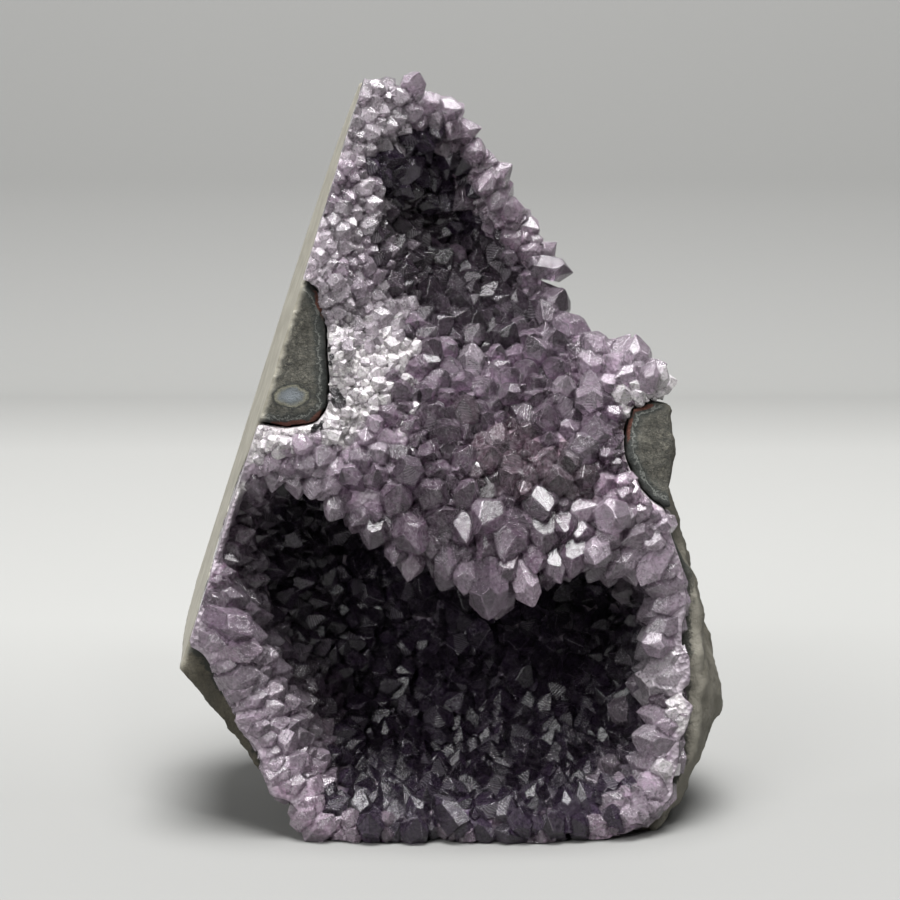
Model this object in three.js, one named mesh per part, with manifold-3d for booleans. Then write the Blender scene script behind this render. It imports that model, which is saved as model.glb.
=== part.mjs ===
// An amethyst geode that stands on a sawn base: a broken piece of basalt with two hollows, an upper cleft
// and a wide lower pocket, lined with one crust of quartz and amethyst crystals. A thick septum of basalt
// between the hollows is coated too, and shows bare at its two ends. The left side is sawn flat.
// Millimetres, +Z up. The front faces -Y, and the origin is the middle of the footprint, on the base.
import * as THREE from "three";
import { ConvexGeometry } from "three/addons/geometries/ConvexGeometry.js";
import { ConvexHull } from "three/addons/math/ConvexHull.js";
import { mergeVertices } from "three/addons/utils/BufferGeometryUtils.js";
import Module from "manifold-3d";

const wasm = await Module();
wasm.setup();

// The middle of the footprint, in the coordinates that every list below uses.
const FOOTPRINT_MIDDLE = { x: 0.3, y: 6.5 };

// Layers
const CRUST_ON_FRONT = 5.5; // crust thickness on the front face, measured along Y
const CRUST_IN_POCKET = 6; // crust thickness on the pocket's walls
const GAP = 0.5; // between crust and basalt along Y, which leaves 0.2 to 0.3 square to steep slopes
const CRUST_FOOT = 0.4; // the crust ends this far above the base
const POCKET_SILL = 2.4; // basalt left under the lower pocket

// The sawn left side passes through this point and leans and turns by these angles.
const SAWN_SIDE = { x: -52, y: -20, z: 36.5, leanDeg: 18, turnDeg: 5 };

// The front face as points [x, z, y]: the depth y at a place x, z. It is smoothed by FRONT_BLEND.
const FRONT_BLEND = 5.5;
const FRONT_EDGE_FADE = 1e-5; // keeps the average defined far from every point
const NORMAL_STEP = 1.5; // the front face's slope is measured over this distance to each side
const TIP = [[-9, 147, -4], [-14.5, 147, -8], [-3, 146.5, -2]];
const LEFT_STRIP = [[-16.5, 138.5, -11], [-19.5, 129, -13], [-21.5, 119.5, -15], [-23, 110, -17]];
const STRIP_INNER_EDGE = [[-13, 136, -7], [-15, 125, -10], [-15.5, 114, -11]];
const UPPER_HOLLOW = [
  [-8, 133, 10], [-4, 128, 18], [0, 125, 22], [-7, 120, 16], [4, 116.5, 23], [10, 114, 20], [-1, 111, 14],
  [12, 106, 15], [-8.5, 108, 3],
];
const UPPER_RIGHT_RIM = [
  [0, 138.5, 0], [5.5, 132.5, 1], [10, 126, 2], [15, 120, 3], [19, 114.5, 4], [20, 106, 6],
];
const SLOPE = [
  [-14, 103.5, -9], [-4, 100, -5], [6, 100.5, 3], [16, 98, 5], [4, 93, -7], [16, 89, -7], [30, 91, -4],
  [39, 90, -6], [-6, 90, -15], [6, 84.5, -15], [21.5, 80.5, -16], [33.5, 82, -14], [39.5, 78, -12],
];
const WHITE_PATCH = [[-21.5, 98, -17], [-19.5, 87, -20], [-33, 79, -21], [-25, 73.5, -22], [-29, 96.5, -18]];
const RIDGE = [[-9.5, 75.5, -22], [2, 72, -23], [17.5, 70, -23], [31, 67.5, -21], [41.5, 64.5, -15]];
const LIP = [
  [-17.5, 64, -24], [-7.5, 57, -26], [7, 49.5, -28], [17.5, 55, -27], [29, 56.5, -24], [39, 55.5, -21],
  [46.5, 51.5, -16],
];
const LOWER_LEFT_RIM = [
  [-38, 75, -20], [-41, 63.5, -20], [-44, 53.5, -21], [-46, 44, -22], [-41, 36, -23], [-35, 24.5, -24],
  [-31.5, 12.5, -25], [-25.5, 3.5, -26],
];
const BOTTOM_RIM = [[-13.5, 2, -27], [0, 4, -27], [13.5, 4, -27], [29.5, 1.5, -26]];
const LOWER_RIGHT_RIM = [[39.5, 7.5, -22], [42.5, 19.5, -20], [43, 31, -19], [43.5, 43, -18]];
const ACROSS_POCKET = [[-19.5, 38.5, -24], [19.5, 32.5, -24], [0, 17, -25]];
const FRONT_POINTS = [
  ...TIP, ...LEFT_STRIP, ...STRIP_INNER_EDGE, ...UPPER_HOLLOW, ...UPPER_RIGHT_RIM, ...SLOPE, ...WHITE_PATCH,
  ...RIDGE, ...LIP, ...LOWER_LEFT_RIM, ...BOTTOM_RIM, ...LOWER_RIGHT_RIM, ...ACROSS_POCKET,
];

// The crust's outline in the front view, as points [x, z], clockwise from the top of the sawn side,
// which the saw trims on the left.
const CRUST_OUTLINE = [
  [-20, 144.5], [-15, 145], [-10, 145], [-4, 144], [-1, 139.5], [2.5, 134.5], [7, 131], [10, 125], [14, 120],
  [18, 115.5], [18.5, 107], [19.5, 100.5], [23, 95.5], [30, 92.5], [37.5, 90], [39.5, 87.5], [40, 83.5], [40.5, 76],
  [41.8, 66], [43.5, 59.5], [46, 52.5], [45.8, 43], [45.6, 27], [45.2, 14], [41.5, 5.5], [35, 1], [21.5, 2.5],
  [10, 3.5], [-2, 3], [-10, 1.5], [-19.5, 0], [-26, 1.5], [-31.5, 11], [-40.5, 25], [-48.5, 37], [-62, 44],
];
const FREE_EDGE_ABOVE = 88; // above this height crystals grow out over the crust's edge

// The lower pocket's mouth, inside the crust, as points [x, z] around POCKET_AXIS, anticlockwise seen from
// the front, and its depth as rings: y, share of the mouth's size, and the ring's shift to the right and up.
const POCKET_AXIS = { x: -2, z: 33 };
const POCKET_MOUTH = [
  [40, 32], [39, 50], [30, 54.5], [15, 52], [7, 49], [-8, 56], [-16, 62], [-24, 69], [-36, 70],
  [-42, 61], [-43.5, 50], [-41, 40], [-36.5, 27.5], [-31.5, 17], [-24, 6], [-6, 5], [9, 5], [24.5, 5],
  [35, 8], [39.5, 19],
];
const POCKET_RINGS = [
  { y: -60, size: 1, shift: 0, rise: 0 },
  { y: -24, size: 1, shift: 0, rise: 0 },
  { y: -12, size: 0.98, shift: 1, rise: 2 },
  { y: 0, size: 0.91, shift: 3, rise: 3 },
  { y: 12, size: 0.78, shift: 4, rise: 3 },
  { y: 20, size: 0.58, shift: 4, rise: 2 },
  { y: 25, size: 0.32, shift: 4, rise: 1 },
];
const POCKET_END = { y: 27, shift: 4, rise: 1 }; // the pocket's deepest point

// The basalt: two chunks with flat broken faces, given by their corners [x, y, z], that share ROCK_MIDDLE.
const ROCK_MIDDLE = new THREE.Vector3(-6, 8, 70);
const MAIN_CHUNK = [
  [-22.5, -31, -6], [34, -34, -6], [37, -10, -6], [31, 27, -6], [16, 36, -6], [-13, 36, -6], [-24, 8, -6],
  [-54, -20, 33], [-59, 14, 40], [-53, 34, 36], [-62, -30, 46], [-37, -31, 15], [43.5, -30, 15], [46, -24, 50],
  [48.5, 2, 5], [58, 8, 15.5], [53.5, 6, 34], [53, 25, 26], [36, 43, 34], [0, 47, 42], [-36, 44, 48],
  [43, -2, 85], [39, -12, 91], [30, 4, 93], [20, 10, 98], [38, 24, 72], [8, 43, 72], [-30, 42, 74],
  [-50, 14, 80], [-48, -28, 84], [10, -20, 90],
];
const SPIRE_CHUNK = [
  [36, 0, 60], [34, 20, 60], [12, 42, 60], [-30, 43, 60], [-56, 20, 62], [-56, -24, 62], [20, -20, 60],
  [18.5, 4, 97], [19.5, 20, 98], [16.6, 8, 114], [16, 24, 112], [11, 5, 124], [10.5, 20, 124], [3.5, 4, 136],
  [2, 17, 136], [-22, -12, 149], [-1, -4, 146], [-3, 9, 146.5], [-17, 16, 146], [-26, 10, 148], [4, 34, 124],
  [-20, 38, 118], [-36, 22, 116],
];
const ROCK_DETAIL = 6; // how finely the basalt's surface is divided
const ROCK_LUMPS = { height: 0.9, pitch: 11 };
// Shell-shaped chips broken out of the right edge and the back: middle and radius.
const CHIPS = [
  { at: [78.5, -5, 70.5], radius: 37.5 }, { at: [66, 30, 66], radius: 27 }, { at: [30, 63, 88], radius: 32 },
  { at: [-36, 61, 118], radius: 34 }, { at: [50, 48, 0], radius: 25 }, { at: [-66, 50, 20], radius: 31 },
];

// The bare ends of the septum in the front view, as points [x, z], and how far they reach back.
const LEFT_END = [
  [-27.5, 109], [-25.5, 107], [-24.4, 103], [-24.2, 96], [-23.8, 90], [-24, 85.5], [-26, 82.6], [-31.5, 81.6],
  [-48, 83.5], [-38, 109],
];
const RIGHT_END = [
  [34.6, 80], [36.2, 83.6], [40, 85], [43.5, 84], [44, 72], [43, 64.5], [39.8, 66.5], [36.8, 70], [34.8, 75],
];
const ENDS_REACH = -2;
const ENDS_STAND_BACK = 0.8; // their face lies this far behind the crust's

// Crystals: six-sided prisms with six-sided points, most of the prism buried in the crust. They are small
// round the upper hollow and large elsewhere.
const SMALL_CRYSTALS = { above: 102, spacing: 9.6, radius: { least: 3.4, most: 5 } };
const LARGE_CRYSTALS = { spacing: 12.2, radius: { least: 4.8, most: 6.6 } };
const POCKET_SPACING = 15;
const CRYSTAL_SHOULDER = { least: -1.6, most: -0.2 };
const CRYSTAL_ROOT = 3;
const POINT_RISE = 1.25; // height of the point for each millimetre of radius
const CRYSTAL_LEAN = 0.3; // how far crystals stray from square to the surface
const CRYSTAL_SQUASH = { least: 0.8, most: 1 }; // width across one way as a share of the other
const TIP_STRAY = 0.16; // how far the tip strays sideways for each millimetre of radius
const CLEAR_OF_ENDS = 3.8; // no crystal grows nearer than this to the septum's bare ends
const CLEAR_OF_OUTLINE = 3.4;
const CLEAR_OF_MOUTH = 4;
const RIM_INSET = 1.6; // how far the crystals round the pocket's mouth stand outside it
const EDGE_INSET = { least: -0.5, most: 1 }; // and the edge's crystals inside the crust's outline
const ROW_STEP = 0.87; // rows lie this share of the spacing apart
const SCATTER = 0.22; // how far a crystal strays from its place, as a share of the spacing
const ALONG_RIM = 0.4; // the same along the pocket's mouth, forwards only
const ALONG_WALL = 0.5; // and along the pocket's walls
const ALONG_EDGE = { least: 0.2, most: 0.8 }; // where in its share of the edge a crystal stands
const EDGE_DEPTH = CRUST_ON_FRONT * 0.4; // how far behind the front face the edge's crystals start
const RIM_DEPTH = 1; // and the crystals round the pocket's mouth
const FORWARDS = new THREE.Vector3(0, -0.8, 0); // how strongly crystals on edges and rims turn to the front
const EDGE_OUTWARDS = { least: 0.8, most: 1.4 }; // how strongly the edge's crystals turn outwards
const RIM_INWARDS = { least: 0, most: 0.6 }; // and the rim's crystals inwards
const POCKET_ROWS = { first: -14, endsBefore: 1, scatter: 1.5 }; // rows of crystals on the pocket's walls, in y
const POCKET_FORWARDS = { atMouth: 0.15, added: 1.6 }; // how strongly they turn forwards, more so further in

const WELD = 1e-4; // points nearer than this are one
const FAR = 200; // larger than the part, for the blocks that trim it
const GRID_STEP = 8; // the front face's grid
const GRID = { left: -64, right: 64, low: -8, high: 160, back: 70, front: -70 };

// Repeatable random numbers from 0 to 1
let seed = 20231;
function random() {
  seed = (seed + 0x6d2b79f5) | 0;
  let t = Math.imul(seed ^ (seed >>> 15), 1 | seed);
  t = (t + Math.imul(t ^ (t >>> 7), 61 | t)) ^ t;
  return ((t ^ (t >>> 14)) >>> 0) / 4294967296;
}
const between = ({ least, most }) => least + (most - least) * random();
const stray = (reach) => (random() * 2 - 1) * reach;

// The depth of the crust's front face at x, z: the average of the points, the nearest counting most.
function frontDepth(x, z) {
  let sum = 0;
  let weights = 0;
  for (const [px, pz, depth] of FRONT_POINTS) {
    const squared = (x - px) ** 2 + (z - pz) ** 2;
    const weight = Math.exp(-squared / (2 * FRONT_BLEND ** 2)) + FRONT_EDGE_FADE / (1 + squared);
    sum += weight * depth;
    weights += weight;
  }
  return sum / weights;
}

// The direction square to the front face at x, z, towards the viewer
function frontNormal(x, z) {
  const step = NORMAL_STEP;
  const acrossX = (frontDepth(x + step, z) - frontDepth(x - step, z)) / (2 * step);
  const acrossZ = (frontDepth(x, z + step) - frontDepth(x, z - step)) / (2 * step);
  return new THREE.Vector3(acrossX, -1, acrossZ).normalize();
}

// A closed three.js geometry as a solid that can be joined and cut
function solidOf(geometry) {
  const bare = new THREE.BufferGeometry().setAttribute("position", geometry.getAttribute("position"));
  bare.setIndex(geometry.index);
  const merged = mergeVertices(bare, WELD);
  const vertProperties = merged.attributes.position.array;
  const triVerts = new Uint32Array(merged.index.array);
  return new wasm.Manifold(new wasm.Mesh({ numProp: 3, vertProperties, triVerts }));
}

function geometryOf(solid) {
  const { vertProperties, triVerts } = solid.getMesh();
  const geometry = new THREE.BufferGeometry();
  geometry.setAttribute("position", new THREE.BufferAttribute(vertProperties, 3));
  geometry.setIndex(new THREE.BufferAttribute(triVerts, 1));
  return geometry;
}

function joined(solids) {
  return wasm.Manifold.union(solids);
}

function fromTriangles(points, triangles) {
  const geometry = new THREE.BufferGeometry().setFromPoints(points);
  return solidOf(geometry.setIndex(triangles));
}

// Everything behind the front face moved back by `inset`
function behindFront(inset) {
  const columns = Math.round((GRID.right - GRID.left) / GRID_STEP);
  const rows = Math.round((GRID.high - GRID.low) / GRID_STEP);
  const points = [];
  for (const face of ["front", "back"]) {
    for (let row = 0; row <= rows; row++) {
      for (let column = 0; column <= columns; column++) {
        const x = GRID.left + column * GRID_STEP;
        const z = GRID.low + row * GRID_STEP;
        points.push(new THREE.Vector3(x, face === "front" ? frontDepth(x, z) + inset : GRID.back, z));
      }
    }
  }
  const at = (face, row, column) => (face * (rows + 1) + row) * (columns + 1) + column;
  const triangles = [];
  const quad = (a, b, c, d) => triangles.push(a, b, c, a, c, d);
  for (let row = 0; row < rows; row++) {
    for (let column = 0; column < columns; column++) {
      quad(at(0, row, column), at(0, row, column + 1), at(0, row + 1, column + 1), at(0, row + 1, column));
      quad(at(1, row, column), at(1, row + 1, column), at(1, row + 1, column + 1), at(1, row, column + 1));
    }
    quad(at(0, row, 0), at(0, row + 1, 0), at(1, row + 1, 0), at(1, row, 0));
    quad(at(0, row + 1, columns), at(0, row, columns), at(1, row, columns), at(1, row + 1, columns));
  }
  for (let column = 0; column < columns; column++) {
    quad(at(0, 0, column + 1), at(0, 0, column), at(1, 0, column), at(1, 0, column + 1));
    quad(at(0, rows, column), at(0, rows, column + 1), at(1, rows, column + 1), at(1, rows, column));
  }
  return fromTriangles(points, triangles);
}

// A solid through rings of points, closed at each end by a fan to a middle point
function lofted(rings, firstMiddle, lastMiddle) {
  const count = rings[0].length;
  const points = [...rings.flat(), firstMiddle, lastMiddle];
  const triangles = [];
  const first = points.length - 2;
  const last = points.length - 1;
  for (let k = 0; k < count; k++) {
    const next = (k + 1) % count;
    triangles.push(first, k, next);
    triangles.push(last, (rings.length - 1) * count + next, (rings.length - 1) * count + k);
    for (let ring = 0; ring + 1 < rings.length; ring++) {
      const a = ring * count;
      const b = a + count;
      triangles.push(a + k, b + k, b + next, a + k, b + next, a + next);
    }
  }
  return fromTriangles(points, triangles);
}

// One ring of the lower pocket, grown outwards by `grow`
function pocketRing({ y, size, shift, rise }, grow) {
  return POCKET_MOUTH.map(([mouthX, mouthZ]) => {
    const outward = new THREE.Vector2(mouthX - POCKET_AXIS.x, mouthZ - POCKET_AXIS.z);
    outward.setLength(outward.length() * size + grow);
    const sill = grow > 0 ? POCKET_SILL + CRUST_IN_POCKET - grow : -Infinity;
    const z = Math.max(sill, POCKET_AXIS.z + rise + outward.y);
    return new THREE.Vector3(POCKET_AXIS.x + shift + outward.x, y, z);
  });
}

function lowerPocket(grow) {
  const deepest = POCKET_RINGS[POCKET_RINGS.length - 1].y;
  const start = POCKET_RINGS[1].y;
  const stretch = (y) => y + Math.max(0, (y - start) / (deepest - start)) * grow;
  const rings = POCKET_RINGS.map((ring) => pocketRing({ ...ring, y: stretch(ring.y) }, grow));
  const front = new THREE.Vector3(POCKET_AXIS.x, POCKET_RINGS[0].y, POCKET_AXIS.z);
  const { y, shift, rise } = POCKET_END;
  const end = new THREE.Vector3(POCKET_AXIS.x + shift, y + grow, POCKET_AXIS.z + rise);
  return lofted(rings, front, end);
}

// A prism through the part with this outline in the front view, grown outwards by `grow`
function prism(outline, grow, from, to) {
  const middle = new THREE.Vector2();
  outline.forEach(([x, z]) => middle.add(new THREE.Vector2(x, z)));
  middle.divideScalar(outline.length);
  const corners = outline.map(([x, z]) => {
    const outward = new THREE.Vector2(x, z).sub(middle);
    return outward.setLength(outward.length() + grow).add(middle);
  });
  const geometry = new THREE.ExtrudeGeometry(new THREE.Shape(corners), { depth: to - from, bevelEnabled: false });
  return solidOf(geometry.rotateX(Math.PI / 2).translate(0, to, 0));
}

// What the saw took off the left side, as a large block
function sawnOff() {
  const block = new THREE.BoxGeometry(FAR, FAR * 2, FAR * 2).translate(-FAR / 2, 0, 0);
  block.rotateY(THREE.MathUtils.degToRad(SAWN_SIDE.leanDeg));
  block.rotateZ(THREE.MathUtils.degToRad(SAWN_SIDE.turnDeg));
  return solidOf(block.translate(SAWN_SIDE.x, SAWN_SIDE.y, SAWN_SIDE.z));
}

function below(height) {
  return solidOf(new THREE.BoxGeometry(FAR, FAR, FAR).translate(0, 0, height - FAR / 2));
}

// The flat faces of a chunk
function facesOf(corners) {
  return new ConvexHull().setFromPoints(corners.map((corner) => new THREE.Vector3(...corner))).faces;
}

// How far a chunk reaches from ROCK_MIDDLE in a direction
function reachOf(faces, direction) {
  const crossings = faces
    .filter((face) => face.normal.dot(direction) > 1e-6)
    .map((face) => (face.constant - face.normal.dot(ROCK_MIDDLE)) / face.normal.dot(direction));
  return Math.min(...crossings);
}

// Uneven height over a surface, from -1 to 1
function unevenness({ x, y, z }, pitch) {
  const wave = (a, b, c, shift) => Math.sin((a * x + b * y + c * z) / pitch + shift);
  return (wave(5, 2, 3, 0) + wave(-3, 6, 1, 1.9) + wave(2, -3, 6, 4.1) + 0.6 * wave(9, 7, -8, 2.6)) / 3.6;
}

// The broken block, both chunks in one, before anything is cut out of it
function block(grow) {
  const chunks = [MAIN_CHUNK, SPIRE_CHUNK].map(facesOf);
  const ball = new THREE.IcosahedronGeometry(1, ROCK_DETAIL);
  const place = ball.getAttribute("position");
  for (let k = 0; k < place.count; k++) {
    const direction = new THREE.Vector3().fromBufferAttribute(place, k).normalize();
    const reach = Math.max(...chunks.map((faces) => reachOf(faces, direction)));
    const flat = direction.clone().multiplyScalar(reach);
    const lump = ROCK_LUMPS.height * unevenness(flat, ROCK_LUMPS.pitch);
    const point = direction.multiplyScalar(reach + lump + grow).add(ROCK_MIDDLE);
    place.setXYZ(k, point.x, point.y, point.z);
  }
  return solidOf(ball);
}

// The septum's bare ends, grown by `grow`
function septumEnds(grow) {
  const reach = (outline) => prism(outline, grow, GRID.front, ENDS_REACH + grow);
  return joined([reach(LEFT_END), reach(RIGHT_END)]);
}

// The basalt, grown towards the crust by `grow`
function basalt(grow) {
  const chips = CHIPS.map(({ at, radius }) => solidOf(new THREE.IcosahedronGeometry(radius, 2).translate(...at)));
  const rock = block(grow).subtract(joined(chips));
  const lined = rock.intersect(behindFront(CRUST_ON_FRONT - grow)).subtract(lowerPocket(CRUST_IN_POCKET - grow));
  const ends = septumEnds(grow).intersect(behindFront(ENDS_STAND_BACK - grow));
  return joined([lined, ends]).subtract(sawnOff()).subtract(below(0));
}

// One crystal at `at`, pointing along `direction`
function crystal(at, direction, radius, shoulder) {
  const corners = [];
  const turn = random() * Math.PI;
  const squash = between(CRYSTAL_SQUASH);
  for (let k = 0; k < 6; k++) {
    const angle = turn + (k * Math.PI) / 3;
    const x = radius * Math.cos(angle);
    const y = radius * squash * Math.sin(angle);
    corners.push(new THREE.Vector3(x, y, -CRYSTAL_ROOT));
    corners.push(new THREE.Vector3(x, y, shoulder));
  }
  const tip = shoulder + POINT_RISE * radius;
  corners.push(new THREE.Vector3(stray(radius * TIP_STRAY), stray(radius * TIP_STRAY), tip));
  const toward = new THREE.Quaternion().setFromUnitVectors(new THREE.Vector3(0, 0, 1), direction);
  const geometry = new ConvexGeometry(corners);
  return solidOf(geometry.applyQuaternion(toward).translate(at.x, at.y, at.z));
}

function leaning(normal) {
  const lean = new THREE.Vector3(stray(CRYSTAL_LEAN), stray(CRYSTAL_LEAN), stray(CRYSTAL_LEAN));
  return lean.add(normal).normalize();
}

// True inside an outline of points [x, z]
function inside(outline, x, z) {
  let within = false;
  outline.forEach(([ax, az], k) => {
    const [bx, bz] = outline[(k + 1) % outline.length];
    if (az > z !== bz > z && x < ((bx - ax) * (z - az)) / (bz - az) + ax) within = !within;
  });
  return within;
}

function distanceTo(outline, x, z) {
  const place = new THREE.Vector3(x, 0, z);
  const distances = outline.map(([ax, az], k) => {
    const [bx, bz] = outline[(k + 1) % outline.length];
    const side = new THREE.Line3(new THREE.Vector3(ax, 0, az), new THREE.Vector3(bx, 0, bz));
    return side.closestPointToPoint(place, true, new THREE.Vector3()).distanceTo(place);
  });
  return Math.min(...distances);
}

const nearEnd = (x, z) =>
  [LEFT_END, RIGHT_END].some((end) => inside(end, x, z) || distanceTo(end, x, z) < CLEAR_OF_ENDS);

// Crystals all over the front face, in staggered rows from one height to another
function frontCrystals(low, high, { spacing, radius }) {
  const grown = [];
  const rowStep = spacing * ROW_STEP;
  for (let row = 0; low + row * rowStep < high; row++) {
    for (let x = GRID.left + (row % 2) * spacing * 0.5; x < GRID.right; x += spacing) {
      const placeX = x + stray(spacing * SCATTER);
      const placeZ = low + row * rowStep + stray(spacing * SCATTER);
      const fromEdge = distanceTo(CRUST_OUTLINE, placeX, placeZ);
      const onCrust = inside(CRUST_OUTLINE, placeX, placeZ) && fromEdge > CLEAR_OF_OUTLINE;
      const fromMouth = distanceTo(POCKET_MOUTH, placeX, placeZ);
      const overPocket = inside(POCKET_MOUTH, placeX, placeZ) || fromMouth < CLEAR_OF_MOUTH;
      if (!onCrust || overPocket || nearEnd(placeX, placeZ)) continue;
      const at = new THREE.Vector3(placeX, frontDepth(placeX, placeZ), placeZ);
      const direction = leaning(frontNormal(placeX, placeZ));
      grown.push(crystal(at, direction, between(radius), between(CRYSTAL_SHOULDER)));
    }
  }
  return grown;
}

// Crystals on the crust's edge round the top and down the right, pointing outwards and forwards
function edgeCrystals() {
  const grown = [];
  CRUST_OUTLINE.forEach(([ax, az], k) => {
    const [bx, bz] = CRUST_OUTLINE[(k + 1) % CRUST_OUTLINE.length];
    const length = Math.hypot(bx - ax, bz - az);
    const count = Math.max(1, Math.round(length / SMALL_CRYSTALS.spacing));
    for (let n = 0; n < count; n++) {
      const share = (n + between(ALONG_EDGE)) / count;
      const x = ax + (bx - ax) * share;
      const z = az + (bz - az) * share;
      if (z < FREE_EDGE_ABOVE || nearEnd(x, z)) continue;
      const outward = new THREE.Vector3(az - bz, 0, bx - ax).divideScalar(length);
      const depth = frontDepth(x, z) + EDGE_DEPTH;
      const at = new THREE.Vector3(x, depth, z).addScaledVector(outward, -between(EDGE_INSET));
      const direction = outward.multiplyScalar(between(EDGE_OUTWARDS)).add(FORWARDS).normalize();
      grown.push(crystal(at, leaning(direction), between(SMALL_CRYSTALS.radius), CRYSTAL_SHOULDER.most));
    }
  });
  return grown;
}

// Crystals round the pocket's mouth, pointing inwards and forwards
function rimCrystals() {
  const grown = [];
  const rim = new THREE.CatmullRomCurve3(POCKET_MOUTH.map(([x, z]) => new THREE.Vector3(x, 0, z)), true);
  const count = Math.round(rim.getLength() / LARGE_CRYSTALS.spacing);
  for (let n = 0; n < count; n++) {
    const at = rim.getPointAt((n + ALONG_RIM * random()) / count);
    const inward = new THREE.Vector3(POCKET_AXIS.x - at.x, 0, POCKET_AXIS.z - at.z).normalize();
    at.addScaledVector(inward, -RIM_INSET);
    if (nearEnd(at.x, at.z)) continue;
    at.y = frontDepth(at.x, at.z) + RIM_DEPTH;
    const direction = inward.multiplyScalar(between(RIM_INWARDS)).add(FORWARDS);
    grown.push(crystal(at, leaning(direction), between(LARGE_CRYSTALS.radius), between(CRYSTAL_SHOULDER)));
  }
  return grown;
}

// Crystals on the lower pocket's walls, pointing inwards
function pocketCrystals() {
  const grown = [];
  const rings = POCKET_RINGS.slice(1).map((ring) => ({ ...ring, points: pocketRing(ring, 0) }));
  for (let y = POCKET_ROWS.first; y < POCKET_END.y - POCKET_ROWS.endsBefore; y += POCKET_SPACING * ROW_STEP) {
    const outer = rings.findLast((ring) => ring.y <= y);
    const inner = rings.find((ring) => ring.y > y);
    const share = inner ? (y - outer.y) / (inner.y - outer.y) : 0;
    const points = outer.points.map((point, k) => point.clone().lerp((inner ?? outer).points[k], share));
    const wall = new THREE.CatmullRomCurve3(points, true);
    const count = Math.floor(wall.getLength() / POCKET_SPACING);
    for (let n = 0; n < count; n++) {
      const at = wall.getPointAt(((n + ALONG_WALL * random()) / count) % 1);
      const depth = THREE.MathUtils.smoothstep(y, 0, POCKET_END.y);
      const forwards = POCKET_FORWARDS.atMouth + POCKET_FORWARDS.added * depth;
      const inward = new THREE.Vector3(POCKET_AXIS.x - at.x, 0, POCKET_AXIS.z + outer.rise - at.z).normalize();
      inward.add(new THREE.Vector3(0, -forwards, 0)).normalize();
      at.y = y + stray(POCKET_ROWS.scatter);
      grown.push(crystal(at, leaning(inward), between(LARGE_CRYSTALS.radius), between(CRYSTAL_SHOULDER)));
    }
  }
  return grown;
}

// The crust: a layer over the front face, the pocket's lining and the crystals, fused
function crust() {
  const layer = behindFront(0)
    .subtract(behindFront(CRUST_ON_FRONT - GAP))
    .intersect(prism(CRUST_OUTLINE, 0, GRID.front, GRID.back));
  const lining = lowerPocket(CRUST_IN_POCKET - GAP).intersect(behindFront(0));
  const bed = joined([layer, lining]).subtract(lowerPocket(0));
  const crystals = joined([
    ...frontCrystals(0, SMALL_CRYSTALS.above, LARGE_CRYSTALS),
    ...frontCrystals(SMALL_CRYSTALS.above, GRID.high, SMALL_CRYSTALS),
    ...edgeCrystals(),
    ...rimCrystals(),
    ...pocketCrystals(),
  ]);
  return joined([bed, crystals])
    .subtract(basalt(GAP))
    .subtract(septumEnds(GAP))
    .subtract(sawnOff())
    .subtract(below(CRUST_FOOT));
}

// The largest body of a solid, without crumbs that a cut leaves loose
function withoutCrumbs(solid) {
  return solid.decompose().reduce((largest, body) => (body.volume() > largest.volume() ? body : largest));
}

function piece(name, solid, color, roughness) {
  const material = new THREE.MeshStandardMaterial({ color, roughness, metalness: 0, flatShading: true });
  const mesh = new THREE.Mesh(geometryOf(withoutCrumbs(solid)), material);
  mesh.name = name;
  return mesh;
}

const geode = new THREE.Group();
geode.name = "amethyst_geode";
geode.add(piece("basalt_matrix", basalt(0), 0x66685d, 0.9));
geode.add(piece("amethyst_crust", crust(), 0x8d7a9c, 0.15));
geode.position.set(-FOOTPRINT_MIDDLE.x, -FOOTPRINT_MIDDLE.y, 0);

export default geode;
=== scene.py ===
# An amethyst geode on its sawn base: grey-green basalt, a bed of milky quartz, and amethyst crystals that
# line an upper cleft and a wide lower pocket. Metres, +Z up, the front faces -Y.
import math
import random

import bpy
import numpy as np
from mathutils import Matrix, Vector
from mathutils.bvhtree import BVHTree
from mathutils.kdtree import KDTree


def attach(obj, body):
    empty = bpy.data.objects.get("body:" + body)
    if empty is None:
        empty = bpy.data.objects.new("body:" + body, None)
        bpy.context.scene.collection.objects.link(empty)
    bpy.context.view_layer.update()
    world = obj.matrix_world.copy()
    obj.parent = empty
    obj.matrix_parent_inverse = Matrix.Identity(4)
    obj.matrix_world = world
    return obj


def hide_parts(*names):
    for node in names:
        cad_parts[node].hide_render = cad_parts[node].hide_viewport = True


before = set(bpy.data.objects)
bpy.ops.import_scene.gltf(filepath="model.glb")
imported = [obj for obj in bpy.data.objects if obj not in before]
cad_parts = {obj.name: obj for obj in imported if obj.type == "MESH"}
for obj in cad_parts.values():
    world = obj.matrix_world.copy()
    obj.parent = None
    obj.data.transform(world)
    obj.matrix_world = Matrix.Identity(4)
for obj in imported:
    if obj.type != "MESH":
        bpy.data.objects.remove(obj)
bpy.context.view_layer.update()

MM = 0.001
SEED = 11

# The camera stands in front, a little above. The picture is square.
CAMERA_AT = (-0.3, -526.4, 147.3)
CAMERA_TARGET = (-0.3, -11.5, 74.9)
CAMERA_LENS = 104.0
CAMERA_SENSOR = 36

# The sawn left side: a point on it in millimetres, its lean and its turn
SAWN_POINT = Vector((-52.3, -26.5, 36.5)) * MM
SAWN_LEAN = math.radians(18)
SAWN_TURN = math.radians(5)
SAWN_NORMAL = Vector((
    math.cos(SAWN_LEAN) * math.cos(SAWN_TURN),
    math.cos(SAWN_LEAN) * math.sin(SAWN_TURN),
    -math.sin(SAWN_LEAN),
))

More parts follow.
